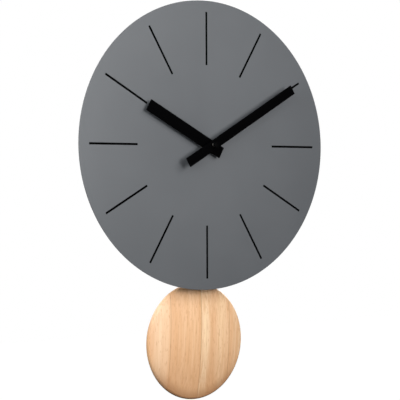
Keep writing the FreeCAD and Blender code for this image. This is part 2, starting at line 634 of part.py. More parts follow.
def make_motor_train():
    """Rotor, intermediate, seconds, third and centre wheels, each turned to the phase that meshes at rest."""
    inter_bearing = bearing_of("inter_bearing")
    rotor_bearing = bearing_of("rotor_bearing")
    third_bearing = bearing_of("third_bearing")
    back_to_centre = third_bearing + math.pi
    step = mesh_of("inter_reach", inter_bearing, "seconds_teeth", 0, "inter_pinion", "step_shift")
    fast = mesh_of("rotor_reach", rotor_bearing, "inter_teeth", 0, "rotor_teeth", "fast_shift")
    slow = mesh_of("third_reach", third_bearing, "seconds_pinion", 0, "third_teeth", "slow_shift")
    last = mesh_of("third_reach", back_to_centre, "third_pinion", 0, "centre_teeth", "last_shift")

    placed(fused("seconds_wheel", [
        wheel_rim("seconds_rim", "seconds_teeth", step, 0, "seconds_level", "rim_width"),
        pinion("seconds_leaves", "seconds_pinion", slow, 0, "seconds_pinion_level", "short_pinion"),
        cylinder("seconds_hub", "Dims.seconds_hub_r", level("seconds_pinion_level"), "Dims.hub_long"),
        arbor("seconds_arbor", "Dims.pivot_r", level("magnet_level"), REAR_PIVOT),
    ]))
    placed(fused("intermediate_wheel", [
        wheel_rim("inter_rim", "inter_teeth", fast, 0, "inter_level", "rim_width"),
        pinion("inter_leaves", "inter_pinion", step, step.phase, "inter_pinion_level", "short_pinion"),
        cylinder("inter_hub", "Dims.inter_hub_r", level("inter_pinion_level"), "Dims.hub_long"),
        arbor("inter_arbor", "Dims.pivot_r", level("plate_level"), REAR_PIVOT),
    ]), *INTER_AT)
    placed(fused("rotor_pinion", [
        pinion("rotor_leaves", "rotor_teeth", fast, fast.phase, "rotor_pinion_level", "short_pinion"),
        cylinder("rotor_hub", "Dims.rotor_hub_r", level("magnet_level"),
                 "Dims.magnet_thick + Dims.rotor_hub_over"),
        arbor("rotor_arbor", "Dims.pivot_r", FRONT_PIVOT, REAR_PIVOT),
    ]), *ROTOR_AT)
    ring("rotor_magnet", "Dims.rotor_hub_r", "Dims.magnet_r", level("magnet_level"), "Dims.magnet_thick",
         *ROTOR_AT)
    placed(fused("third_wheel", [
        wheel_rim("third_rim", "third_teeth", slow, slow.phase, "third_level", "rim_width"),
        pinion("third_leaves", "third_pinion", last, 0, "third_pinion_level", "pinion_width"),
        arbor("third_arbor", "Dims.pivot_r", FRONT_PIVOT, REAR_PIVOT),
    ]), *THIRD_AT)
    centre_rim = wheel_rim("centre_rim", "centre_teeth", last, last.phase, "centre_level", "centre_width")
    centre_bore = cylinder("centre_bore", "Dims.arbor_r + Dims.pivot_play", level("centre_level"),
                           "Dims.centre_width")
    placed(bored("centre_wheel", centre_rim, centre_bore))


def make_motion_work():
    """Minute arbor with its pinion, minute wheel on the setting stem, and hour wheel with its pipe."""
    set_bearing = bearing_of("set_bearing")
    cannon = mesh_of("set_reach", set_bearing, "cannon_teeth", 0, "minute_teeth", "cannon_shift")
    hour = mesh_of("set_reach", set_bearing + math.pi, "minute_pinion", 0, "hour_teeth", "hour_shift")

    thread_front = f"{NOSE_FACE} - Dims.cap_long + Dims.cap_wall"
    plate_back = f"{level('plate_level')} + Dims.plate_thick"
    shaft_back = f"{level('plate_level')} - Dims.end_play"
    collar_back = f"{level('centre_level')} - Dims.collar_play"
    solid_arbor = fused("minute_arbor_solid", [
        pinion("cannon_leaves", "cannon_teeth", cannon, 0, "cannon_level", "cannon_width"),
        arbor("minute_thread", "Dims.arbor_thread_r", thread_front, NOSE_FACE),
        arbor("minute_shaft", "Dims.arbor_r", NOSE_FACE, shaft_back),
        arbor("minute_collar", "Dims.collar_r", level("collar_level"), collar_back),
        arbor("minute_journal", "Dims.journal_r", shaft_back, plate_back),
    ])
    seconds_bore = arbor("seconds_bore", PIVOT_HOLE, f"{level('magnet_level')} - Dims.bore_over", plate_back)
    placed(bored("minute_arbor", solid_arbor, seconds_bore))
    ring("clutch_spring", "Dims.arbor_r", "Dims.clutch_r", level("clutch_level"), "Dims.clutch_thick")

    knob_front = f"{TRAIN_COVER} + Dims.cover_thick + Dims.knob_gap"
    placed(fused("minute_wheel", [
        wheel_rim("minute_rim", "minute_teeth", cannon, cannon.phase, "minute_level", "minute_width"),
        pinion("minute_leaves", "minute_pinion", hour, 0, "motion_level", "motion_width"),
        cylinder("minute_hub", "Dims.minute_hub_r", level("motion_level"), "Dims.minute_hub_long"),
        arbor("minute_pivot", "Dims.pivot_r", FRONT_PIVOT, level("motion_level")),
        arbor("set_stem", "Dims.stem_r", level("motion_level"), f"{knob_front} + Dims.knob_long / 2"),
    ]), *SET_AT)
    make_set_knob(knob_front)

    pipe_front = f"{HOUR_FACE} - Dims.hour_pipe_proud"
    rim_back = f"{level('hour_level')} + Dims.hour_width"
    solid_wheel = fused("hour_wheel_solid", [
        wheel_rim("hour_rim", "hour_teeth", hour, hour.phase, "hour_level", "hour_width"),
        arbor("hour_pipe", "Dims.pipe_r", pipe_front, rim_back),
    ])
    hour_bore = arbor("hour_bore", "Dims.arbor_r + Dims.pipe_play", pipe_front, rim_back)
    placed(bored("hour_wheel", solid_wheel, hour_bore))


def make_set_knob(front):
    """Round knob with notches for the finger, pressed on the setting stem behind the cover."""
    back = f"{front} + Dims.knob_long"
    middle = f"{front} + Dims.knob_long / 2"
    body = new_body("set_knob", *SET_AT)
    turn(body, [
        ("Dims.stem_r", front), ("Dims.knob_r", front), ("Dims.knob_r", back), ("0", back), ("0", middle),
        ("Dims.stem_r", middle),
    ])
    notch = cut_slab(body, [Circle("0", "Dims.knob_r", "Dims.knob_notch")], front, "Dims.knob_long")
    repeat_round(body, notch, "Dims.knob_notches")
    done(body)


# ---------------------------------------------------------------- motor, battery and electronics


def turned_along_x(label, profile, y, z):
    """Turns a closed profile of (x, radius) points about an axis along X through (y, z)."""
    body = new_body(label, "0", z)
    body.setExpression("Placement.Base.y", y)
    sketch = new_sketch(body, "XY_Plane")
    draw_polygon(sketch, profile)
    revolution = body.newObject("PartDesign::Revolution", f"{body.Name}_turned")
    revolution.Profile = sketch
    revolution.ReferenceAxis = (sketch, ["H_Axis"])
    revolution.Angle = 360
    return body


def make_motor():
    left, left_in = "Dims.stator_left", "Dims.stator_left_in"
    right, right_in = "Dims.stator_right", "Dims.stator_right_in"
    low, neck, yoke, top = "Dims.stator_low", "Dims.stator_neck", "Dims.stator_yoke", "Dims.stator_top"
    outline = [
        (left, low), (left_in, low), (left_in, neck), (right, neck), (right, top), (right_in, top),
        (right_in, yoke), (left_in, yoke), (left_in, top), (left, top),
    ]
    stator = new_body("motor_stator")
    rotor_hole = Circle(*ROTOR_AT, "Dims.stator_hole")
    add_slab(stator, [outline, rotor_hole], level("stator_level"), "Dims.stator_thick")
    done(stator)

    core_low, core_top = "Dims.core_z - Dims.core_high / 2", "Dims.core_z + Dims.core_high / 2"
    core = rectangle("Dims.core_left", core_low, "Dims.core_right", core_top)
    core_front = f"{level('stator_level')} + Dims.stator_thick"
    slab_piece("motor_core", [core], core_front, "Dims.stator_thick")

    axis_y = f"{core_front} + Dims.stator_thick / 2"
    left, right = "Dims.coil_left", "Dims.coil_right"
    left_in, right_in = f"{left} + Dims.flange_wide", f"{right} - Dims.flange_wide"
    bore, tube, flange = "Dims.motor_bore_r", "Dims.motor_tube_r", "Dims.motor_flange_r"
    done(turned_along_x("motor_bobbin", [
        (left, bore), (right, bore), (right, flange), (right_in, flange), (right_in, tube), (left_in, tube),
        (left_in, flange), (left, flange),
    ], axis_y, "Dims.core_z"))
    done(turned_along_x("motor_coil", [
        (left_in, tube), (right_in, tube), (right_in, "Dims.motor_coil_r"), (left_in, "Dims.motor_coil_r"),
    ], axis_y, "Dims.core_z"))


def make_battery():
    axis_y = f"{CASE_FLOOR} + Dims.battery_gap + Dims.battery_r"
    left = "Dims.battery_left"
    shoulder = f"{left} + Dims.battery_long"
    tip = f"{shoulder} + Dims.battery_nub"
    edge = "Dims.battery_edge"
    radius = "Dims.battery_r"
    done(turned_along_x("battery", [
        (left, "0"), (left, f"{radius} - {edge}"), (f"{left} + {edge}", radius),
        (f"{shoulder} - {edge}", radius), (shoulder, f"{radius} - {edge}"), (shoulder, "Dims.battery_nub_r"),
        (tip, "Dims.battery_nub_r"), (tip, "0"),
    ], axis_y, "Dims.battery_z"))

    thick = "Dims.contact_thick"
    high = "Dims.battery_z + Dims.contact_high / 2"
    strip = rectangle(tip, "Dims.contact_low", f"{tip} + {thick}", high)
    slab_piece("positive_contact", [strip], level("contact_level"), "Dims.contact_deep")
    wall = "-Dims.case_half + Dims.case_wall + Dims.contact_play"
    inner = f"{wall} + {thick}"
    blade = [
        (wall, "Dims.contact_low"), (inner, "Dims.contact_low"), (inner, f"{high} - Dims.contact_bend"),
        (left, "Dims.battery_z"), (left, "Dims.battery_z + Dims.contact_lip"), (inner, high), (wall, high),
    ]
    slab_piece("negative_contact", [blade], level("contact_level"), "Dims.contact_deep")


def make_electronics():
    half = "Dims.board_half"
    board = rectangle(f"-{half}", "Dims.board_low", half, "Dims.board_top")
    board_back = f"{level('board_level')} + Dims.board_thick"
    slab_piece("circuit_board", [board], level("board_level"), "Dims.board_thick")
    crystal = turned_along_x("quartz_crystal", [
        ("Dims.crystal_x", "0"), ("Dims.crystal_x + Dims.crystal_long", "0"),
        ("Dims.crystal_x + Dims.crystal_long", "Dims.crystal_r"), ("Dims.crystal_x", "Dims.crystal_r"),
    ], f"{board_back} + Dims.crystal_r", "Dims.crystal_z")
    done(crystal)
    chip = new_body("driver_chip", "Dims.chip_x", "Dims.chip_z")
    top = f"{board_back} + Dims.chip_high"
    turn(chip, [
        ("0", board_back), ("Dims.chip_r", board_back), ("Dims.chip_waist_r", f"{top} - Dims.chip_dome"),
        ("Dims.chip_top_r", top), ("0", top),
    ])
    done(chip)

    front, back = CASE_FLOOR, f"{CASE_FLOOR} + Dims.drive_long"
    front_in, back_in = f"{front} + Dims.flange_wide", f"{back} - Dims.flange_wide"
    tube, flange = "Dims.drive_tube_r", "Dims.drive_flange_r"
    turned_piece("drive_bobbin", [
        ("0", front), (flange, front), (flange, front_in), (tube, front_in),
        (tube, back_in), (flange, back_in), (flange, back), ("0", back),
    ], "0", "Dims.drive_z")
    ring("drive_coil", tube, "Dims.drive_coil_r", front_in, "Dims.drive_long - 2 * Dims.flange_wide",
         "0", "Dims.drive_z")


# ---------------------------------------------------------------- pendulum


def make_lever():
    """Plastic lever on its pin: hub, arm, a pot for the magnet below and a peg for the rod's eye."""
    body = new_body("pendulum_lever")
    hub = Circle("0", "Dims.lever_z", "Dims.lever_hub_r")
    pot = Circle("0", "Dims.drive_z", "Dims.lever_boss_r")
    arm = rectangle("-Dims.lever_arm / 2", "Dims.drive_z", "Dims.lever_arm / 2", "Dims.lever_z")
    add_slab(body, [hub], LEVER_FACE, "Dims.lever_hub_long")
    for outline in (arm, pot):
        add_slab(body, [outline], LEVER_FACE, "Dims.lever_thick")
    bore = Circle("0", "Dims.lever_z", "Dims.pin_r + Dims.lever_bore_play")
    magnet_seat = Circle("0", "Dims.drive_z", "Dims.lever_magnet_r")
    cut_slab(body, [bore], LEVER_FACE, "Dims.lever_hub_long")
    cut_slab(body, [magnet_seat], LEVER_FACE, "Dims.lever_magnet_thick")
    peg, peg_head = (Circle("0", "Dims.peg_z", radius) for radius in ("Dims.peg_r", "Dims.peg_head_r"))
    add_slab(body, [peg], LEVER_BACK, "Dims.peg_long")
    add_slab(body, [peg_head], f"{LEVER_BACK} + Dims.peg_long", "Dims.peg_head")
    done(body)

    ring("lever_magnet", "Dims.lever_magnet_bore", "Dims.lever_magnet_r", LEVER_FACE,
         "Dims.lever_magnet_thick", "0", "Dims.drive_z")
    clip_front = f"{LEVER_FACE} + Dims.lever_hub_long + Dims.end_play"
    ring("lever_clip", "Dims.pin_r", "Dims.clip_r", clip_front, "Dims.clip_thick", "0", "Dims.lever_z")
    pin_long = f"{clip_front} + Dims.clip_thick + Dims.pin_over - ({CASE_FLOOR})"
    pin = new_body("lever_pin", "0", "Dims.lever_z")
    add_slab(pin, [Circle("0", "0", "Dims.pin_r")], CASE_FLOOR, pin_long)
    done(pin)


def make_rod():
    """Steel wire with an eye on the lever's peg, cranked back into the plane of the bob."""
    wire_r = size("rod_r")
    eye_r = size("peg_r") + size("rod_eye_play") + wire_r
    eye_y = value(f"{LEVER_BACK} + Dims.peg_long / 2")
    back_y = size("rod_y")
    eye_z = size("peg_z") - size("rod_eye_play")
    crank_top = size("rod_crank_top")
    bend = size("rod_crank_bend")
    middle_y = (eye_y + back_y) / 2
    half_step = (back_y - eye_y) / 2
    turn_r = (half_step ** 2 + (bend / 2) ** 2) / (2 * half_step)
    lean = math.asin(bend / 2 / turn_r)
    crank_middle = crank_top - bend / 2
    crank_low = crank_top - bend
    rod_end = size("bob_z") + size("bob_r") - size("bob_hole_deep")

    def on_upper(angle):
        return Vector(0, eye_y + turn_r * (1 - math.cos(angle)), crank_top - turn_r * math.sin(angle))

    def on_lower(angle):
        return Vector(0, back_y - turn_r * (1 - math.cos(angle)), crank_low + turn_r * math.sin(angle))

    middle = Vector(0, middle_y, crank_middle)
    start = Vector(0, eye_y, eye_z - eye_r)
    path = Part.Wire([
        Part.LineSegment(start, on_upper(0)).toShape(),
        Part.Arc(on_upper(0), on_upper(lean / 2), middle).toShape(),
        Part.Arc(middle, on_lower(lean / 2), on_lower(0)).toShape(),
        Part.LineSegment(on_lower(0), Vector(0, back_y, rod_end)).toShape(),
    ])
    section = Part.Wire([Part.Circle(start, Vector(0, 0, -1), wire_r).toShape()])
    wire = doc.addObject("Part::Feature", "rod_wire")
    wire.Shape = path.makePipeShell([section], True, False)
    eye = doc.addObject("Part::Torus", "rod_eye")
    eye.Placement = Placement(Vector(0, eye_y, eye_z), Rotation(Vector(1, 0, 0), 90))
    eye.Radius1 = eye_r
    eye.setExpression("Radius1", "Dims.peg_r + Dims.rod_eye_play + Dims.rod_r")
    eye.setExpression("Radius2", "Dims.rod_r")
    placed(fused("pendulum_rod", [eye, wire]))


def make_bob():
    """Wooden disc: both faces domed, meeting in a round rim, drilled on top for the rod."""
    radius, half, crown = "Dims.bob_r", "(Dims.bob_thick / 2)", "Dims.bob_crown"
    rim = f"(({radius} ^ 2 + ({crown} - {half}) ^ 2 - {crown} ^ 2) / (2 * ({radius} - {crown})))"
    join_r = f"({radius} - {rim}) * {crown} / ({crown} - {rim})"
    join_y = f"({crown} - {half}) * {rim} / ({crown} - {rim})"
    corners = [("0", f"-{half}"), (join_r, f"-({join_y})"), (join_r, join_y), ("0", half)]
    body = new_body("pendulum_bob", "0", "Dims.bob_z")
    body.setExpression("Placement.Base.y", "Dims.rod_y")
    body.Placement = Placement(body.Placement.Base, Rotation(Vector(0, 0, 1), size("bob_turn")))
    body.setExpression("Placement.Rotation.Angle", "Dims.bob_turn")
    sketch = new_sketch(body, "XY_Plane")
    draw_curved(sketch, corners, [crown, rim, crown, None])
    revolution = body.newObject("PartDesign::Revolution", "bob_turned")
    revolution.Profile = sketch
    revolution.ReferenceAxis = (sketch, ["V_Axis"])
    revolution.Angle = 360
    drill = new_sketch(body, "XY_Plane", "Dims.bob_r - Dims.bob_hole_deep")
    draw_circle(drill, Circle("0", "0", "Dims.rod_r"))
    before = solid_volume(body)
    hole = body.newObject("PartDesign::Pocket", "bob_hole")
    hole.Profile = drill
    hole.Reversed = True
    hole.setExpression("Length", "Dims.bob_hole_deep + Dims.cut_over")
    if solid_volume(body) >= before:
        raise RuntimeError("the rod's hole takes nothing away from the bob")
    done(body)


def draw_curved(sketch, corners, radii):
    """A closed outline whose edges are straight or, where a radius is given, arcs that bulge outwards."""
    points = [Vector(value(x), value(y), 0) for x, y in corners]
    ends = points[1:] + points[:1]
    edges = []
    for start, end, radius in zip(points, ends, radii):
        if radius is None:
            curve = Part.LineSegment(start, end)
        else:
            chord = end - start
            outward = Vector(chord.y, -chord.x, 0).normalize()
            bulge = value(radius) - math.sqrt(value(radius) ** 2 - (chord.Length / 2) ** 2)
            curve = Part.Arc(start, (start + end) / 2 + outward * bulge, end)
        edges.append(sketch.addGeometry(curve, False))

    def end_on(edge, point):
        return 1 if (sketch.getPoint(edge, 1) - point).Length < 1e-6 else 2

    for index, (edge, radius, corner) in enumerate(zip(edges, radii, corners)):
        following = edges[(index + 1) % len(edges)]
        near = end_on(edge, points[index])
        joint = ends[index]
        sketch.addConstraint(
            Sketcher.Constraint("Coincident", edge, end_on(edge, joint), following, end_on(following, joint)))
        bind(sketch, "DistanceX", -1, 1, edge, near, expression=corner[0])
        bind(sketch, "DistanceY", -1, 1, edge, near, expression=corner[1])
        if radius is not None:
            bind(sketch, "Radius", edge, expression=radius)


# ---------------------------------------------------------------- housing and hanger


def both_sides(side, *heights):
    """Points at the same distance on both sides of the middle, at each height."""
    return [(f"{sign}{side}", height) for height in heights for sign in ("", "-")]


STUDS = both_sides("Dims.stud_x", "Dims.stud_top", "Dims.stud_low")
PADS = both_sides("Dims.pad_x", "Dims.pad_top", "Dims.pad_low")
SCREWS = both_sides("Dims.screw_x", "Dims.hanger_rise + Dims.screw_z")
SCREW_SINK = "(Dims.screw_head_r - Dims.screw_r)"


def make_housing():
    """Moulded tub behind the dial: flange on the dial, service window behind, open below for the rod."""
    body = new_body("rear_housing")
    half, top, low = "Dims.house_half", "Dims.house_top", "Dims.house_low"
    wall, flange = "Dims.house_wall", "Dims.house_flange"
    tub_deep = f"{HOUSE_BACK} - ({DIAL_BACK})"
    rim = rectangle(f"-{half} - {flange}", f"{low} - {flange}", f"{half} + {flange}", f"{top} + {flange}")
    add_slab(body, [rim], DIAL_BACK, wall)
    dress(body, "Fillet", runs_along_y, "Dims.flange_corner")
    add_slab(body, [rectangle(f"-{half}", low, half, top)], DIAL_BACK, tub_deep)
    dress(body, "Fillet", corner_of_tub, "Dims.house_corner")
    dress(body, "Fillet", rear_rim_of_tub, "Dims.house_edge")
    cavity = rectangle(f"-{half} + {wall}", f"{low} + {wall}", f"{half} - {wall}", f"{top} - {wall}")
    cut_slab(body, [cavity], DIAL_BACK, f"{tub_deep} - {wall}")
    window = rectangle("-Dims.window_half", "Dims.window_low", "Dims.window_half", "Dims.window_top")
    recess = rectangle("-Dims.recess_side", "Dims.hanger_rise - Dims.recess_side", "Dims.recess_side",
                       "Dims.hanger_rise + Dims.recess_up")
    inner_back = f"{HOUSE_BACK} - {wall}"
    cut_slab(body, [window], inner_back, wall)
    cut_slab(body, [recess], inner_back, wall)
    slot = rectangle("-Dims.rod_slot_half", f"{low} - Dims.cut_over",
                     "Dims.rod_slot_half", f"{low} + {wall} + Dims.cut_over")
    cut_slab(body, [slot], "Dims.rod_slot_front", "Dims.rod_slot_back - Dims.rod_slot_front")
    cut_slab(body, [Circle(x, z, "Dims.stud_r + Dims.stud_play") for x, z in STUDS], DIAL_BACK, wall)
    screw_front = f"{inner_back} - Dims.screw_boss"
    screw_deep = f"Dims.screw_boss + {wall}"
    add_slab(body, [Circle(x, z, "Dims.screw_boss_r") for x, z in SCREWS], screw_front, screw_deep)
    cut_slab(body, [Circle(x, z, "Dims.screw_r") for x, z in SCREWS], screw_front, screw_deep)
    done(body)


def corner_of_tub(edge):
    if not runs_along_y(edge):
        return False
    box = edge.BoundBox
    at_side = abs(abs(box.XMax) - size("house_half")) < 1e-3
    at_end = min(abs(box.ZMax - size("house_top")), abs(box.ZMax - size("house_low"))) < 1e-3
    return at_side and at_end and box.YLength > 2 * size("house_wall")


def rear_rim_of_tub(edge):
    box = edge.BoundBox
    return abs(box.YMax - value(HOUSE_BACK)) < 1e-3 and box.YLength < 1e-3


def make_fixings():
    slab_piece("dial_studs", [Circle(x, z, "Dims.stud_r") for x, z in STUDS], DIAL_BACK, "Dims.stud_long")
    nuts = new_body("stud_nuts")
    nut_front = f"{DIAL_BACK} + Dims.house_wall"
    for x, z in STUDS:
        corners = [(f"{x} + {dx}", f"{z} + {dz}") for dx, dz in hexagon("Dims.stud_nut_flats")]
        add_slab(nuts, [corners, Circle(x, z, "Dims.stud_r")], nut_front, "Dims.stud_nut_thick")
    done(nuts)
    slab_piece("wall_pads", [Circle(x, z, "Dims.pad_r") for x, z in PADS], HOUSE_BACK, "Dims.wall_stand_off")


def make_hanger():
    """Steel plate with a keyhole: the screw's head goes through the round hole, its shank up the slot."""
    body = new_body("hanger_plate")
    rise = "Dims.hanger_rise"
    front = HOUSE_BACK
    plate = rectangle("-Dims.hanger_half", f"{rise} - Dims.hanger_down", "Dims.hanger_half",
                      f"{rise} + Dims.hanger_up")
    add_slab(body, [plate], front, "Dims.hanger_thick")
    dress(body, "Fillet", runs_along_y, "Dims.hanger_corner")
    cut_slab(body, [Circle("0", rise, "Dims.hole_r")], front, "Dims.hanger_thick")
    slot = rectangle("-Dims.slot_half", rise, "Dims.slot_half", f"{rise} + Dims.slot_up")
    cut_slab(body, [slot], front, "Dims.hanger_thick")
    cut_slab(body, [Circle("0", f"{rise} + Dims.slot_up", "Dims.slot_half")], front, "Dims.hanger_thick")
    cut_slab(body, [Circle(x, z, "Dims.screw_r") for x, z in SCREWS], front, "Dims.hanger_thick")
    dress(body, "Chamfer", circle_at(0, size("screw_r")), SCREW_SINK)
    done(body)

    screws = [make_screw(x, z, side) for side, (x, z) in zip(("right", "left"), SCREWS)]
    placed(fused("hanger_screws", screws))


def make_screw(x, z, side):
    """Countersunk screw, flush with the rear face of the hanger plate."""
    head = doc.addObject("Part::Cone", f"screw_head_{side}")
    head.Placement = Placement(Vector(), Rotation(Vector(1, 0, 0), -90))
    head.setExpression("Radius1", "Dims.screw_r")
    head.setExpression("Radius2", "Dims.screw_head_r")
    head.setExpression("Height", SCREW_SINK)
    head.setExpression("Placement.Base.x", x)
    head.setExpression("Placement.Base.y", f"-{SCREW_SINK}")
    head.setExpression("Placement.Base.z", z)
    shank = arbor(f"screw_shank_{side}", "Dims.screw_r", "-Dims.screw_long", f"-{SCREW_SINK}")
    shank.setExpression("Placement.Base.x", x)
    shank.setExpression("Placement.Base.z", z)
    return fused(f"screw_{side}", [head, shank])


# ---------------------------------------------------------------- assembly and export


def build_clock():
    make_dial()
    make_hour_markers()
    make_hand("minute", MINUTE_FACE)
    make_hand("hour", HOUR_FACE)
    make_collet("minute", MINUTE_FACE, "Dims.arbor_r", [("Dims.nose_r", NOSE_FACE)])
    make_collet("hour", HOUR_FACE, "Dims.pipe_r")
    make_cap_nut()
    make_dial_clamp()
    make_movement_case()
    make_covers()
    make_train_plate()
    make_bushing()
    make_motor_train()
    make_motion_work()
    make_motor()
    make_battery()
    make_electronics()
    make_lever()
    make_rod()
    make_bob()
    make_housing()
    make_fixings()
    make_hanger()


def check_document():
    doc.recompute()
    for item in doc.Objects:
        if {"Invalid", "Error"} & set(item.State):
            raise RuntimeError(f"{item.Name} is in state {item.State}")
    for piece in finished:
        if piece.Shape.isNull() or not piece.Shape.isValid() or not piece.Shape.Solids:
            raise RuntimeError(f"{piece.Label} has no valid solid")


def export_parts():
    os.makedirs("parts", exist_ok=True)
    for piece in finished:
        piece.Shape.exportStep(f"parts/{piece.Label}.step")
        box = piece.Shape.BoundBox
        reach = " ".join(f"{low:8.2f} {high:8.2f}" for low, high in (
            (box.XMin, box.XMax), (box.YMin, box.YMax), (box.ZMin, box.ZMax)))
        print(f"{piece.Label:22s} {len(piece.Shape.Solids):3d} solids {piece.Shape.Volume:10.1f} mm3 {reach}")


build_clock()
check_document()
export_parts()
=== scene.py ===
"""Looks of the pendulum wall clock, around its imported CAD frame. Units are metres; the dial faces -Y."""
import json
import math

import bmesh
import bpy
from mathutils import Euler, Matrix, Vector


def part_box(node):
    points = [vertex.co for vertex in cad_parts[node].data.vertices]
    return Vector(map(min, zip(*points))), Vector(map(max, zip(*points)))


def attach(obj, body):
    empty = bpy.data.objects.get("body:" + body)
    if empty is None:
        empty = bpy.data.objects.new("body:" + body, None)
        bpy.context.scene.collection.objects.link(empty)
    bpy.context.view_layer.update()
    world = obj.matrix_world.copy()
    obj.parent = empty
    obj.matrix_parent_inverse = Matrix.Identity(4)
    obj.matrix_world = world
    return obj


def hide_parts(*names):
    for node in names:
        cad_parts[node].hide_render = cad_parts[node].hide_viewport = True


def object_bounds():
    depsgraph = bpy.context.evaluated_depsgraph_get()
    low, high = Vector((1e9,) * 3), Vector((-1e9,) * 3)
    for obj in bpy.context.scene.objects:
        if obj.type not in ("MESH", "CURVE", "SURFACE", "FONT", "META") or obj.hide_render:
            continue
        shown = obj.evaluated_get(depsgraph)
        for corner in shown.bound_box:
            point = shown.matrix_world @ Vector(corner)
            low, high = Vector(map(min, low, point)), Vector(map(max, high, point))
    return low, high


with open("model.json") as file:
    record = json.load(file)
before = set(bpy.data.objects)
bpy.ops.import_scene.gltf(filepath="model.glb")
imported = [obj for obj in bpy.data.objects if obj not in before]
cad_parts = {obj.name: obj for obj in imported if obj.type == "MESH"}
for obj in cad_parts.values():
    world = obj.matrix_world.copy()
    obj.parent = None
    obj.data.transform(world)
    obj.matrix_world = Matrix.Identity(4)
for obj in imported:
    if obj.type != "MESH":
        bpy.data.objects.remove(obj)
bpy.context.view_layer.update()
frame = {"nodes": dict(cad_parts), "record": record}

MM = 0.001
BODY_OF = {node: body for body, nodes in frame["record"]["behaviour"]["bodies"].items() for node in nodes}

# ---------------------------------------------------------------- shader building


class Shader:
    """A node material around one Principled shader; constants are set on the shader's own sockets."""

    def __init__(self, name, **constants):
        self.material = bpy.data.materials.new(name)
        self.material.use_nodes = True
        self.tree = self.material.node_tree
        self.surface = self.tree.nodes["Principled BSDF"]
        for socket, number in constants.items():
            self.surface.inputs[socket.replace("_", " ")].default_value = number

    def add(self, kind, inputs=None, **settings):
        node = self.tree.nodes.new(kind)
        for setting, choice in settings.items():
            setattr(node, setting, choice)
        for socket, source in (inputs or {}).items():
            self.feed(node.inputs[socket], source)
        return node

    def feed(self, socket, source):
        if isinstance(source, bpy.types.NodeSocket):
            self.tree.links.new(source, socket)
        else:
            socket.default_value = source

    def place(self, scale=(1, 1, 1), turn=(0, 0, 0), shift=(0, 0, 0)):
        """The piece's own coordinates in millimetres, shifted, then turned, then scaled."""
        own = self.add("ShaderNodeTexCoord").outputs["Object"]
        moved = self.add("ShaderNodeVectorMath", {0: own, 1: shift}, operation="SUBTRACT")
        turned = self.add("ShaderNodeVectorRotate", {"Vector": moved.outputs[0], "Rotation": turn},
                          rotation_type="EULER_XYZ")
        per_metre = [per_millimetre / MM for per_millimetre in scale]
        return self.add("ShaderNodeVectorMath", {0: turned.outputs[0], 1: per_metre},
                        operation="MULTIPLY").outputs[0]

    def noise(self, vector, detail=3.0, roughness=0.55, distortion=0.0):
        inputs = {"Vector": vector, "Scale": 1.0, "Detail": detail, "Roughness": roughness,
                  "Distortion": distortion}
        return self.add("ShaderNodeTexNoise", inputs).outputs["Fac"]

    def maths(self, operation, *sources):
        return self.add("ShaderNodeMath", dict(enumerate(sources)), operation=operation).outputs[0]

    def spread(self, source, low, high, to_low=0.0, to_high=1.0):
        """Carries the range from low to high smoothly over to another range, and stays inside that."""
        inputs = {"Value": source, "From Min": low, "From Max": high, "To Min": to_low, "To Max": to_high}
        return self.add("ShaderNodeMapRange", inputs, interpolation_type="SMOOTHSTEP").outputs[0]

    def mix(self, factor, first, second):
        """The first colour at a factor of 0 and the second at 1."""
        inputs = {0: factor, 6: first, 7: second}
        return self.add("ShaderNodeMix", inputs, data_type="RGBA").outputs[2]

    def ramp(self, source, low, high, stops):
        """A colour that runs through the stops, each given by its place between low and high."""
        inputs = {"Value": source, "From Min": low, "From Max": high}
        share = self.add("ShaderNodeMapRange", inputs).outputs[0]
        node = self.add("ShaderNodeValToRGB", {"Fac": share})
        elements = node.color_ramp.elements
        for place, colour in stops[1:-1]:
            elements.new((place - low) / (high - low)).color = colour
        elements[0].color = stops[0][1]
        elements[-1].color = stops[-1][1]
        return node.outputs["Color"]

    def paint(self, colour):
        self.feed(self.surface.inputs["Base Color"], colour)

    def shine(self, roughness):
        self.feed(self.surface.inputs["Roughness"], roughness)

    def bump(self, height, depth, strength=1.0):
        """Bump whose height runs from 0 to 1 over a depth in millimetres."""
        node = self.add("ShaderNodeBump", {"Height": height, "Strength": strength, "Distance": depth * MM})
        self.feed(self.surface.inputs["Normal"], node.outputs[0])


def rgb(red, green, blue):
    """A colour given as 0 to 255 display values, turned into the linear values that shaders use."""
    def linear(value):
        share = value / 255
        return share / 12.92 if share <= 0.04045 else ((share + 0.055) / 1.055) ** 2.4
    return (linear(red), linear(green), linear(blue), 1.0)


# ---------------------------------------------------------------- materials


def dial_paint():
    """Matte powder coat: fine orange peel, faint cloudiness."""
    shader = Shader("dial_paint", Specular_IOR_Level=0.36)
    peel = shader.noise(shader.place((1.1, 1.1, 1.1)), detail=4)
    clouds = shader.noise(shader.place((0.012, 0.012, 0.012)), detail=2)
    specks = shader.noise(shader.place((4, 4, 4)), detail=2)
    base = shader.mix(shader.spread(clouds, 0.3, 0.7), rgb(89, 91, 94), rgb(92, 94, 97))
    shader.paint(shader.mix(shader.spread(specks, 0.35, 0.7, 0, 0.12), base, rgb(79, 81, 84)))
    shader.shine(shader.spread(peel, 0.2, 0.8, 0.44, 0.54))
    shader.bump(peel, 0.02, 0.3)
    return shader.material


def flat_black(name, grey, roughness):
    """Matte black paint or ink with a fine tooth."""
    shader = Shader(name, Specular_IOR_Level=0.012)
    tooth = shader.noise(shader.place((3, 3, 3)), detail=3)
    shader.paint(shader.mix(tooth, rgb(grey, grey, grey), rgb(grey + 3, grey + 3, grey + 4)))
    shader.shine(shader.spread(tooth, 0.2, 0.8, roughness - 0.06, roughness + 0.06))
    shader.bump(tooth, 0.008, 0.3)
    return shader.material


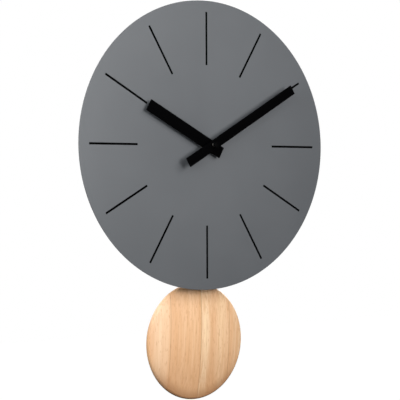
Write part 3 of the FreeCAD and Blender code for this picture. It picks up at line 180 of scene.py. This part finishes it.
def metal(name, colour, roughness):
    """Plated or turned metal: a fine mottled sheen and slight tarnish."""
    shader = Shader(name, Metallic=1.0)
    mottle = shader.noise(shader.place((0.6, 0.6, 0.6)), detail=5)
    spots = shader.noise(shader.place((0.15, 0.15, 0.15)), detail=3)
    tarnish = 0.82
    dull = tuple(channel * tarnish for channel in colour[:3]) + (1.0,)
    shader.paint(shader.mix(shader.spread(spots, 0.35, 0.65), colour, dull))
    shader.shine(shader.spread(mottle, 0.25, 0.75, roughness * 0.75, roughness * 1.35))
    shader.bump(mottle, 0.01, 0.25)
    return shader.material


def plastic(name, colour, roughness, tooth=2.2, depth=0.02):
    """Moulded plastic with a spark-eroded texture and slight variation in tone."""
    shader = Shader(name, Specular_IOR_Level=0.45)
    texture = shader.noise(shader.place((tooth, tooth, tooth)), detail=3)
    tone = shader.noise(shader.place((0.03, 0.03, 0.03)), detail=2)
    pale = tuple(min(1.0, channel * 1.18 + 0.002) for channel in colour[:3]) + (1.0,)
    shader.paint(shader.mix(shader.spread(tone, 0.3, 0.7), colour, pale))
    shader.shine(shader.spread(texture, 0.2, 0.8, roughness - 0.08, roughness + 0.08))
    shader.bump(texture, depth, 0.5)
    return shader.material


def winding(name, along):
    """Enamelled copper wire in close turns, counted along the one axis whose scale isn't 0."""
    shader = Shader(name, Metallic=1.0)
    inputs = {"Vector": shader.place(along), "Scale": 1.0, "Distortion": 0.4, "Detail": 1.0}
    turn_relief_and_shade = shader.add("ShaderNodeTexWave", inputs, bands_direction="DIAGONAL").outputs["Fac"]
    # painted shade and highlight: the copper is darker in the grooves between turns and lighter on their
    # crests
    shader.paint(shader.mix(turn_relief_and_shade, rgb(128, 62, 30), rgb(214, 128, 78)))
    shader.shine(shader.spread(turn_relief_and_shade, 0, 1, 0.45, 0.25))
    shader.bump(turn_relief_and_shade, 0.06, 0.8)
    return shader.material


def board_green():
    """Circuit board under solder resist, with lighter raised tracks between its fields."""
    shader = Shader("board_green", Coat_Weight=0.5, Coat_Roughness=0.15)
    across_board = shader.place((0.12, 0.12, 0.12), (math.pi / 2, 0, 0))
    inputs = {"Vector": across_board, "Scale": 1.0, "Mortar Size": 0.06, "Mortar Smooth": 0.2}
    tracks = shader.add("ShaderNodeTexBrick", inputs).outputs["Fac"]
    shader.paint(shader.mix(tracks, rgb(22, 84, 48), rgb(48, 124, 74)))
    shader.shine(shader.spread(tracks, 0, 1, 0.4, 0.3))
    shader.bump(tracks, 0.03, 0.5)
    return shader.material


def bob_wood(centre, radius):
    """Pale close-grained wood, glued up from upright strips, under a matte lacquer; in millimetres."""
    strip_wide, first_joint = 43.4, -39.8
    # the grain jumps by this much from one strip to the next
    strip_jump = 37.3
    joint_lean, grain_lean = math.radians(-2.5), math.radians(-2.8)
    # tone of the boards from side to side: millimetres from the middle, and colour; the darker stop at the
    # left rim is painted shade
    board_tones_and_rim_shade = (
        (-69, rgb(222, 170, 124)), (-54, rgb(243, 206, 168)), (-43, rgb(240, 198, 157)),
        (-38, rgb(228, 180, 136)), (-12, rgb(240, 196, 153)), (2.0, rgb(234, 187, 142)),
        (3.4, rgb(220, 170, 124)), (3.9, rgb(250, 219, 179)), (13, rgb(247, 211, 170)),
        (21, rgb(232, 183, 139)), (33, rgb(246, 208, 166)), (46, rgb(240, 197, 155)),
        (69, rgb(231, 194, 155)),
    )
    shader = Shader("bob_wood", Specular_IOR_Level=0.4, Coat_Weight=0.22, Coat_Roughness=0.38)
    leaned = shader.place((1, 1, 1), (0, joint_lean, 0), centre)
    leaning = shader.add("ShaderNodeSeparateXYZ", {0: leaned})
    across, upward = leaning.outputs[0], leaning.outputs[2]
    strip = shader.maths("DIVIDE", shader.maths("SUBTRACT", across, first_joint), strip_wide)
    offset = shader.maths("MULTIPLY", shader.maths("FLOOR", strip), strip_jump)
    # distance from the strip's middle, as a share of its width: 0.5 is the joint
    off_middle = shader.maths("ABSOLUTE", shader.maths("SUBTRACT", shader.maths("FRACT", strip), 0.5))
    glue = shader.spread(off_middle, 0.484, 0.498)

    def grain(across_scale, along_scale, detail, distortion=0.0):
        vector = shader.place((across_scale, across_scale, along_scale), (0, grain_lean, 0), centre)
        moved = shader.add("ShaderNodeVectorMath", {0: vector}, operation="ADD")
        shift = shader.add("ShaderNodeCombineXYZ", {0: offset, 2: offset})
        shader.feed(moved.inputs[1], shift.outputs[0])
        return shader.noise(moved.outputs[0], detail=detail, distortion=distortion, roughness=0.5)

    toned = shader.ramp(across, -radius, radius, board_tones_and_rim_shade)
    medium = grain(0.24, 0.008, 2.0, 0.2)
    fine = grain(0.85, 0.018, 3.0)
    ticks = grain(0.75, 0.13, 2.0)
    # the board on the left is the plainest
    figure = shader.spread(across, first_joint - 4, first_joint + 6, 0.4, 1)
    streaks = shader.maths("MULTIPLY", figure, shader.spread(medium, 0.42, 0.62, 0, 0.52))
    lines = shader.maths("MULTIPLY", figure, shader.spread(fine, 0.47, 0.69, 0, 0.42))
    streaked = shader.mix(streaks, toned, rgb(226, 173, 124))
    lined = shader.mix(lines, streaked, rgb(208, 152, 106))
    ticked = shader.mix(shader.spread(ticks, 0.58, 0.70, 0, 0.34), lined, rgb(188, 122, 74))
    # painted shade: the wood is mixed darker towards the bottom, standing in for light falling from above
    painted_shade_below = shader.mix(shader.spread(upward, radius * 0.15, -radius, 0, 0.42), ticked, rgb(186, 134, 92))
    # painted shade: the rim is mixed darker near the foot, where it turns down away from the light
    flat = shader.place((1, 0, 1), (0, 0, 0), centre)
    outward = shader.add("ShaderNodeVectorMath", {0: flat}, operation="LENGTH").outputs["Value"]
    near_rim = shader.spread(outward, radius - 16, radius - 1)
    near_foot = shader.spread(upward, -radius * 0.2, -radius * 0.8)
    painted_foot_shade = shader.maths("MULTIPLY", shader.maths("MULTIPLY", near_rim, near_foot), 0.6)
    foot_shaded = shader.mix(painted_foot_shade, painted_shade_below, rgb(150, 102, 64))
    shader.paint(shader.mix(shader.maths("MULTIPLY", glue, 0.5), foot_shaded, rgb(168, 112, 70)))
    shader.shine(shader.spread(fine, 0.3, 0.7, 0.42, 0.52))
    relief = shader.maths("SUBTRACT", fine, shader.spread(ticks, 0.60, 0.70, 0, 0.6))
    shader.bump(relief, 0.03, 0.35)
    return shader.material


def battery_sleeve():
    """Plain slate-blue plastic sleeve, shrunk tight on the can."""
    shader = Shader("battery_sleeve", Coat_Weight=0.6, Coat_Roughness=0.12, Roughness=0.3)
    speckle = shader.noise(shader.place((6, 6, 6)), detail=2)
    shader.paint(shader.mix(speckle, rgb(104, 117, 137), rgb(118, 131, 151)))
    shader.bump(speckle, 0.004, 0.2)
    return shader.material


# ---------------------------------------------------------------- shapes


def finished_object(name, mesh, angle=32):
    """Links the mesh as an object, smooth apart from edges sharper than the angle."""
    work = bmesh.new()
    work.from_mesh(mesh)
    bmesh.ops.remove_doubles(work, verts=work.verts, dist=1e-7)
    bmesh.ops.recalc_face_normals(work, faces=work.faces)
    work.to_mesh(mesh)
    work.free()
    mesh.shade_smooth()
    mesh.set_sharp_from_angle(angle=math.radians(angle))
    piece = bpy.data.objects.new(name, mesh)
    bpy.context.scene.collection.objects.link(piece)
    return piece


def eased(points, ease, keep=()):
    """Rounds each corner of a closed outline by about the ease distance, apart from the ones to keep."""
    steps = 4
    almost_straight = 0.05
    longest_share = 0.45
    result = []
    count = len(points)
    for index, point in enumerate(points):
        before = Vector(points[index - 1])
        here = Vector(point)
        after = Vector(points[(index + 1) % count])
        into, out = (here - before), (after - here)
        straight = abs(into.normalized().cross(out.normalized())) < almost_straight
        if index in keep or straight:
            result.append(tuple(here))
            continue
        cut = min(ease, into.length * longest_share, out.length * longest_share)
        start = here - into.normalized() * cut
        end = here + out.normalized() * cut
        for step in range(steps + 1):
            share = step / steps
            curve = start * (1 - share) ** 2 + here * 2 * share * (1 - share) + end * share ** 2
            result.append(tuple(curve))
    return result


def lathe(name, profile, centre=(0, 0, 0), axis="Y", segments=96, angle=32):
    """Turns a closed profile of (radius, distance along the axis) about an axis through the centre."""
    work = bmesh.new()
    rings = []
    for radius, along in profile:
        places = circle(0, 0, radius, segments) if radius > 0 else [(0, 0)]
        rings.append([work.verts.new(spun(side, up, along, axis, centre)) for side, up in places])
    for first, second in zip(rings, rings[1:] + rings[:1]):
        join_rings(work, first, second)
    mesh = bpy.data.meshes.new(name)
    work.to_mesh(mesh)
    work.free()
    return finished_object(name, mesh, angle)


def spun(side, up, along, axis, centre):
    """A place on a turned shape whose axis is Y or X."""
    offset = Vector((side, along, up)) if axis == "Y" else Vector((along, side, up))
    return Vector(centre) + offset


def join_rings(work, first, second):
    """Faces between two rings of a turned shape; a ring on the axis is a single point."""
    if len(first) == 1 and len(second) == 1:
        return
    count = max(len(first), len(second))
    for step in range(count):
        following = (step + 1) % count
        if len(first) == 1:
            corners = (first[0], second[following], second[step])
        elif len(second) == 1:
            corners = (first[step], first[following], second[0])
        else:
            corners = (first[step], first[following], second[following], second[step])
        work.faces.new(corners)


def plate(name, outlines, front, back, bevel, steps=3):
    """A flat piece across the clock from closed (x, z) outlines; inner outlines are holes."""
    curve = bpy.data.curves.new(name, "CURVE")
    curve.dimensions = "2D"
    curve.fill_mode = "BOTH"
    curve.extrude = (back - front) / 2 - bevel
    curve.bevel_depth = bevel
    curve.bevel_resolution = steps
    curve.offset = -bevel
    for outline in outlines:
        spline = curve.splines.new("POLY")
        spline.points.add(len(outline) - 1)
        for point, (x, z) in zip(spline.points, outline):
            point.co = (x, z, 0, 1)
        spline.use_cyclic_u = True
    shape = bpy.data.objects.new(name, curve)
    bpy.context.scene.collection.objects.link(shape)
    bpy.context.view_layer.update()
    mesh = bpy.data.meshes.new_from_object(shape)
    bpy.data.objects.remove(shape)
    mesh.transform(Matrix.Translation((0, (front + back) / 2, 0)) @ Matrix.Rotation(math.pi / 2, 4, "X"))
    mesh.name = name
    return finished_object(name, mesh)


def circle(x, z, radius, count=64):
    turns = [2 * math.pi * step / count for step in range(count)]
    return [(x + radius * math.cos(turn), z + radius * math.sin(turn)) for turn in turns]


def refined(node, bevel):
    """A copy of a CAD node with flat faces made whole again and its sharp edges eased."""
    same_place = 1e-6
    flat_within, sharp_from = math.radians(0.5), math.radians(40)
    mesh = frame["nodes"][node].data.copy()
    work = bmesh.new()
    work.from_mesh(mesh)
    bmesh.ops.remove_doubles(work, verts=work.verts, dist=same_place)
    bmesh.ops.dissolve_limit(work, angle_limit=flat_within, verts=work.verts, edges=work.edges)
    work.to_mesh(mesh)
    work.free()
    mesh.name = f"{node}_look"
    mesh.materials.clear()
    piece = finished_object(f"{node}_look", mesh)
    ease = piece.modifiers.new("ease", "BEVEL")
    ease.width = bevel
    ease.segments = 2
    ease.limit_method = "ANGLE"
    ease.angle_limit = sharp_from
    ease.use_clamp_overlap = True
    return piece


def middle(node):
    low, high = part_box(node)
    return (low + high) / 2


def stand_in(piece, material, *nodes):
    """Gives the piece its material, hides the CAD nodes it stands for and rides on their body."""
    piece.data.materials.clear()
    piece.data.materials.append(material)
    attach(piece, BODY_OF[nodes[0]])
    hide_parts(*nodes)
    return piece


def extra(piece, material, node):
    """A detail that belongs to a CAD node's body and takes its finish."""
    piece.data.materials.clear()
    piece.data.materials.append(material)
    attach(piece, BODY_OF[node])


# ---------------------------------------------------------------- the pieces

ARBOR = middle("dial_plate")
DIAL_LOW, DIAL_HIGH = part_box("dial_plate")

PAINT = dial_paint()
INK = flat_black("print_black", 2, 0.7)
HAND_PAINT = flat_black("hand_black", 1, 0.75)
CAP_PAINT = flat_black("cap_black", 3, 0.5)
NICKEL = metal("nickel", rgb(206, 203, 196), 0.22)
DULL_NICKEL = metal("dull_nickel", rgb(204, 200, 192), 0.28)
ZINC = metal("zinc_steel", rgb(196, 198, 202), 0.3)
STEEL = metal("steel", rgb(186, 187, 190), 0.36)
BRASS = metal("brass", rgb(214, 176, 98), 0.28)
MAGNET = metal("dark_steel", rgb(74, 74, 78), 0.5)
ABS = plastic("black_plastic", rgb(38, 38, 41), 0.5)
CASE_ABS = plastic("case_plastic", rgb(30, 30, 33), 0.42, tooth=3.0, depth=0.012)
ACETAL = plastic("white_plastic", rgb(226, 224, 214), 0.4, tooth=1.2, depth=0.006)
RUBBER = plastic("rubber", rgb(22, 22, 22), 0.75, tooth=1.6, depth=0.03)
CHIP = plastic("chip_resin", rgb(16, 16, 17), 0.3, tooth=0.8, depth=0.01)
COPPER = winding("copper", (9, 0, 0))
COPPER_FLAT = winding("copper_flat", (0, 9, 0))
BOARD = board_green()


def make_dial():
    """The round sheet, with its hole and slightly eased edges."""
    outer = (DIAL_HIGH.z - DIAL_LOW.z) / 2
    hole, edge = 4.1 * MM, 0.35 * MM
    front, back = DIAL_LOW.y, DIAL_HIGH.y
    profile = eased([(hole, front), (outer, front), (outer, back), (hole, back)], edge)
    stand_in(lathe("dial", profile, (ARBOR.x, 0, ARBOR.z), segments=360), PAINT, "dial_plate")


def bar_outline(heading, wide, start, end, ease):
    """A bar on a line through the arbor, between two distances from it, with eased corners."""
    turn = math.radians(heading)
    along = Vector((math.sin(turn), math.cos(turn)))
    side = Vector((math.cos(turn), -math.sin(turn)))
    centre = Vector((ARBOR.x, ARBOR.z))
    corners = [centre + side * wide / 2 * across + along * reach
               for across, reach in ((-1, start), (1, start), (1, end), (-1, end))]
    return eased([tuple(corner) for corner in corners], ease)


def make_markers():
    """Twelve printed lines with softly rounded ends, as one print."""
    wide, inner, outer, ease = 2.5 * MM, 94.3 * MM, 156.8 * MM, 0.5 * MM
    ink_thick, sunk = 0.06 * MM, 0.01 * MM
    outlines = [bar_outline(30 * hour, wide, inner, outer, ease) for hour in range(12)]
    front, back = DIAL_LOW.y - ink_thick, DIAL_LOW.y + sunk
    stand_in(plate("marker_lines", outlines, front, back, bevel=0.01 * MM, steps=1), INK, "hour_markers")


def make_hands():
    """Two flat bars with their bushes, and the cap."""
    for node, heading, wide, reach, tail, bore in (
        ("minute_hand", 59.1, 11.5 * MM, 134.2 * MM, 41.2 * MM, 2.8 * MM),
        ("hour_hand", 298.6, 14 * MM, 94.6 * MM, 19 * MM, 3.5 * MM),
    ):
        low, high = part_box(node)
        bar = bar_outline(heading, wide, -tail, reach, 0.35 * MM)
        outlines = [bar, circle(ARBOR.x, ARBOR.z, bore)]
        stand_in(plate(f"{node}_bar", outlines, low.y, high.y, bevel=0.14 * MM), HAND_PAINT, node)
    stand_in(refined("hour_hand_collet", 0.12 * MM), HAND_PAINT, "hour_hand_collet")
    collet = stand_in(refined("minute_hand_collet", 0.12 * MM), HAND_PAINT, "minute_hand_collet")
    # the flange on the hand's face is painted with it; the nose in front of the flange is bare metal
    flange_thick = 0.55 * MM
    nose_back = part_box("minute_hand")[0].y - flange_thick
    collet.data.materials.append(DULL_NICKEL)
    for face in collet.data.polygons:
        face.material_index = int(face.center.y < nose_back)
    make_cap()


def make_cap():
    """Round blind nut with a softened front edge."""
    low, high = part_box("hand_cap_nut")
    radius, bore, wall = (high.x - low.x) / 2, 1.25 * MM, 0.8 * MM
    profile = [(0, low.y), (radius, low.y), (radius, high.y), (bore, high.y), (bore, low.y + wall),
               (0, low.y + wall)]
    cap = lathe("hand_cap", eased(profile, 0.6 * MM, keep=(0, 3, 4, 5)), (ARBOR.x, 0, ARBOR.z))
    stand_in(cap, CAP_PAINT, "hand_cap_nut")


def make_bob():
    """Turned disc, domed on both faces, with a round rim; turned a little on its rod."""
    low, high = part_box("pendulum_bob")
    centre = (low + high) / 2
    radius, half, crown, turn = (high.z - low.z) / 2, 9.5 * MM, 380 * MM, math.radians(3.5)
    dome_steps, rim_steps = 24, 10
    rim = (crown ** 2 - radius ** 2 - (crown - half) ** 2) / (2 * (crown - radius))
    lean = math.asin((radius - rim) / (crown - rim))
    face = []
    for step in range(dome_steps + 1):
        tilt = lean * step / dome_steps
        face.append((crown * math.sin(tilt), half - crown * (1 - math.cos(tilt))))
    for step in range(1, rim_steps + 1):
        tilt = lean + (math.pi / 2 - lean) * step / rim_steps
        face.append((radius - rim + rim * math.sin(tilt), rim * math.cos(tilt)))
    profile = [(r, -y) for r, y in face] + [(r, y) for r, y in reversed(face[:-1])]
    bob = lathe("bob", profile, segments=256, angle=60)
    bob.data.transform(Matrix.Translation(centre) @ Matrix.Rotation(turn, 4, "Z"))
    stand_in(bob, bob_wood(tuple(centre), radius / MM), "pendulum_bob")


def make_battery():
    """A cell in its sleeve, with bare metal ends; the positive end has the button."""
    low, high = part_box("battery")
    radius = (high.z - low.z) / 2
    centre = (0, middle("battery").y, middle("battery").z)
    button_r, button_long = 2.75 * MM, 1.0 * MM
    fold_in, fold_long = 0.6 * MM, 0.4 * MM
    end_thick, end_sunk = 1 * MM, 0.1 * MM
    inner = radius - 1.6 * MM
    foot, shoulder = low.x, high.x - button_long
    sleeve = [(radius - fold_in, foot), (radius, foot + fold_long), (radius, shoulder - fold_long),
              (radius - fold_in, shoulder), (inner, shoulder), (inner, foot)]
    positive = [(0, shoulder - end_thick), (inner, shoulder - end_thick), (inner, shoulder - end_sunk),
                (button_r, shoulder), (button_r, high.x), (0, high.x)]
    negative = [(0, foot + end_sunk), (inner, foot + end_sunk), (inner, foot + end_thick),
                (0, foot + end_thick)]
    stand_in(lathe("battery_body", eased(sleeve, 0.3 * MM), centre, "X"), battery_sleeve(), "battery")
    extra(lathe("battery_positive", eased(positive, 0.25 * MM, keep=(0, 5)), centre, "X"), ZINC, "battery")
    extra(lathe("battery_negative", negative, centre, "X"), ZINC, "battery")


# pieces redrawn with eased edges: material, and the ease in millimetres
REFINED = {
    "rear_housing": (ABS, 0.35), "movement_case": (CASE_ABS, 0.2), "train_cover": (CASE_ABS, 0.3),
    "drive_cover": (CASE_ABS, 0.25), "set_knob": (ABS, 0.15), "hanger_plate": (ZINC, 0.12),
    "hanger_screws": (ZINC, 0.05), "dial_studs": (STEEL, 0.2), "stud_nuts": (ZINC, 0.18),
    "wall_pads": (RUBBER, 0.25), "dial_nut": (BRASS, 0.2), "dial_washer": (BRASS, 0.1),
    "dial_gasket": (RUBBER, 0.1), "threaded_bushing": (BRASS, 0.15), "pendulum_lever": (ACETAL, 0.2),
    "lever_pin": (STEEL, 0.15), "lever_clip": (STEEL, 0.08), "lever_magnet": (MAGNET, 0.15),
    "pendulum_rod": (STEEL, 0.02), "circuit_board": (BOARD, 0.05), "positive_contact": (NICKEL, 0.05),
    "negative_contact": (NICKEL, 0.05), "driver_chip": (CHIP, 0.2), "drive_bobbin": (ACETAL, 0.1),
    "motor_bobbin": (ACETAL, 0.1), "train_plate": (ACETAL, 0.1), "motor_stator": (STEEL, 0.05),
    "motor_core": (STEEL, 0.05), "rotor_magnet": (MAGNET, 0.1), "quartz_crystal": (NICKEL, 0.2),
    "clutch_spring": (STEEL, 0.05),
}
# pieces shown with the CAD mesh as it is
KEPT = {
    "minute_arbor": BRASS, "minute_wheel": ACETAL, "hour_wheel": ACETAL, "seconds_wheel": ACETAL,
    "intermediate_wheel": ACETAL, "third_wheel": ACETAL, "centre_wheel": ACETAL, "rotor_pinion": ACETAL,
    "motor_coil": COPPER, "drive_coil": COPPER_FLAT,
}


def make_the_rest():
    """Everything that keeps the CAD's shape: the eased copies, and the wheels and coils as they are."""
    for node, (material, ease) in REFINED.items():
        stand_in(refined(node, ease * MM), material, node)
    for node, material in KEPT.items():
        mesh = frame["nodes"][node].data
        mesh.materials.clear()
        mesh.materials.append(material)


# ---------------------------------------------------------------- stage, light and camera


FILL = 0.025
WHITE, COOL = (1.0, 1.0, 1.0), (0.94, 0.985, 1.0)
LIGHTS = {
    # name: azimuth, elevation, distance, side of the square panel, power, tint
    "key": (2, 7, 1.6, 0.55, 16.4, WHITE),
    "left_front": (-50, 13, 1.4, 0.8, 9.0, COOL),
    "left_side": (-80, 15, 1.4, 0.8, 9.4, COOL),
    "high_front": (0, 35, 1.4, 0.8, 3.0, WHITE),
    "high_right": (26, 26, 1.4, 0.6, 4.6, WHITE),
    "right_side": (112, 15, 1.5, 0.8, 14, WHITE),
    "back_left": (-150, 25, 1.8, 1.0, 22, WHITE),
    "back_right": (140, 35, 1.8, 1.0, 16, WHITE),
}


def make_stage():
    """A white floor below the hung clock; it glows, so it stays pale, and casts no light on the clock."""
    drop, reach = 1.4, 12
    floor_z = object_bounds()[0][2] - drop
    corners = [(x * reach, y * reach, floor_z) for x, y in ((-1, -1), (1, -1), (1, 1), (-1, 1))]
    mesh = bpy.data.meshes.new("floor")
    mesh.from_pydata(corners, [], [(0, 1, 2, 3)])
    floor = bpy.data.objects.new("floor", mesh)
    bpy.context.scene.collection.objects.link(floor)
    shader = Shader("floor_white", Roughness=0.9, Specular_IOR_Level=0.1, Emission_Strength=1.0)
    grain = shader.noise(shader.place((0.01, 0.01, 0.01)))
    shader.paint(shader.mix(grain, (0.60, 0.60, 0.60, 1), (0.62, 0.62, 0.62, 1)))
    shader.surface.inputs["Emission Color"].default_value = (1, 1, 1, 1)
    mesh.materials.append(shader.material)
    floor.visible_diffuse = False
    floor.visible_glossy = False


def make_world():
    """White to the eye, with only a little fill light."""
    world = bpy.data.worlds.new("studio")
    bpy.context.scene.world = world
    world.use_nodes = True
    tree = world.node_tree
    background = tree.nodes["Background"]
    background.inputs["Color"].default_value = (1, 1, 1, 1)
    path = tree.nodes.new("ShaderNodeLightPath")
    strength = tree.nodes.new("ShaderNodeMapRange")
    strength.inputs["To Min"].default_value = FILL
    strength.inputs["To Max"].default_value = 1.0
    tree.links.new(path.outputs["Is Camera Ray"], strength.inputs["Value"])
    tree.links.new(strength.outputs[0], background.inputs["Strength"])


def direction(azimuth, elevation):
    """Unit vector from the clock towards a place round it; azimuth 0 is straight in front of the dial."""
    turn, rise = math.radians(azimuth), math.radians(elevation)
    return Vector((math.sin(turn) * math.cos(rise), -math.cos(turn) * math.cos(rise), math.sin(rise)))


def make_lights():
    """Square panels round the clock, each facing the arbor."""
    for name, (azimuth, elevation, distance, side, power, tint) in LIGHTS.items():
        lamp = bpy.data.lights.new(name, "AREA")
        lamp.shape = "SQUARE"
        lamp.size = side
        lamp.energy = power
        lamp.color = tint
        holder = bpy.data.objects.new(name, lamp)
        towards = direction(azimuth, elevation)
        holder.location = ARBOR + towards * distance
        holder.rotation_euler = towards.to_track_quat("Z", "Y").to_euler()
        bpy.context.scene.collection.objects.link(holder)


def make_camera():
    """Long lens from the left of the clock, level with it."""
    azimuth, elevation, roll = -33.09, 0.40, -0.22
    distance, lens, sensor = 1.5843, 121.6, 36
    aim = Vector((-9.8 * MM, DIAL_LOW.y, ARBOR.z - 64.2 * MM))
    data = bpy.data.cameras.new("camera")
    data.lens = lens
    data.sensor_width = sensor
    data.clip_end = 50
    camera = bpy.data.objects.new("camera", data)
    back = direction(azimuth, elevation)
    upright = back.to_track_quat("Z", "Y").to_matrix()
    camera.rotation_euler = (upright @ Euler((0, 0, math.radians(roll))).to_matrix()).to_euler()
    camera.location = aim + back * distance
    bpy.context.scene.collection.objects.link(camera)
    bpy.context.scene.camera = camera


make_dial()
make_markers()
make_hands()
make_bob()
make_battery()
make_the_rest()
make_world()
make_lights()
make_stage()
make_camera()
bpy.context.scene.view_settings.view_transform = "Standard"
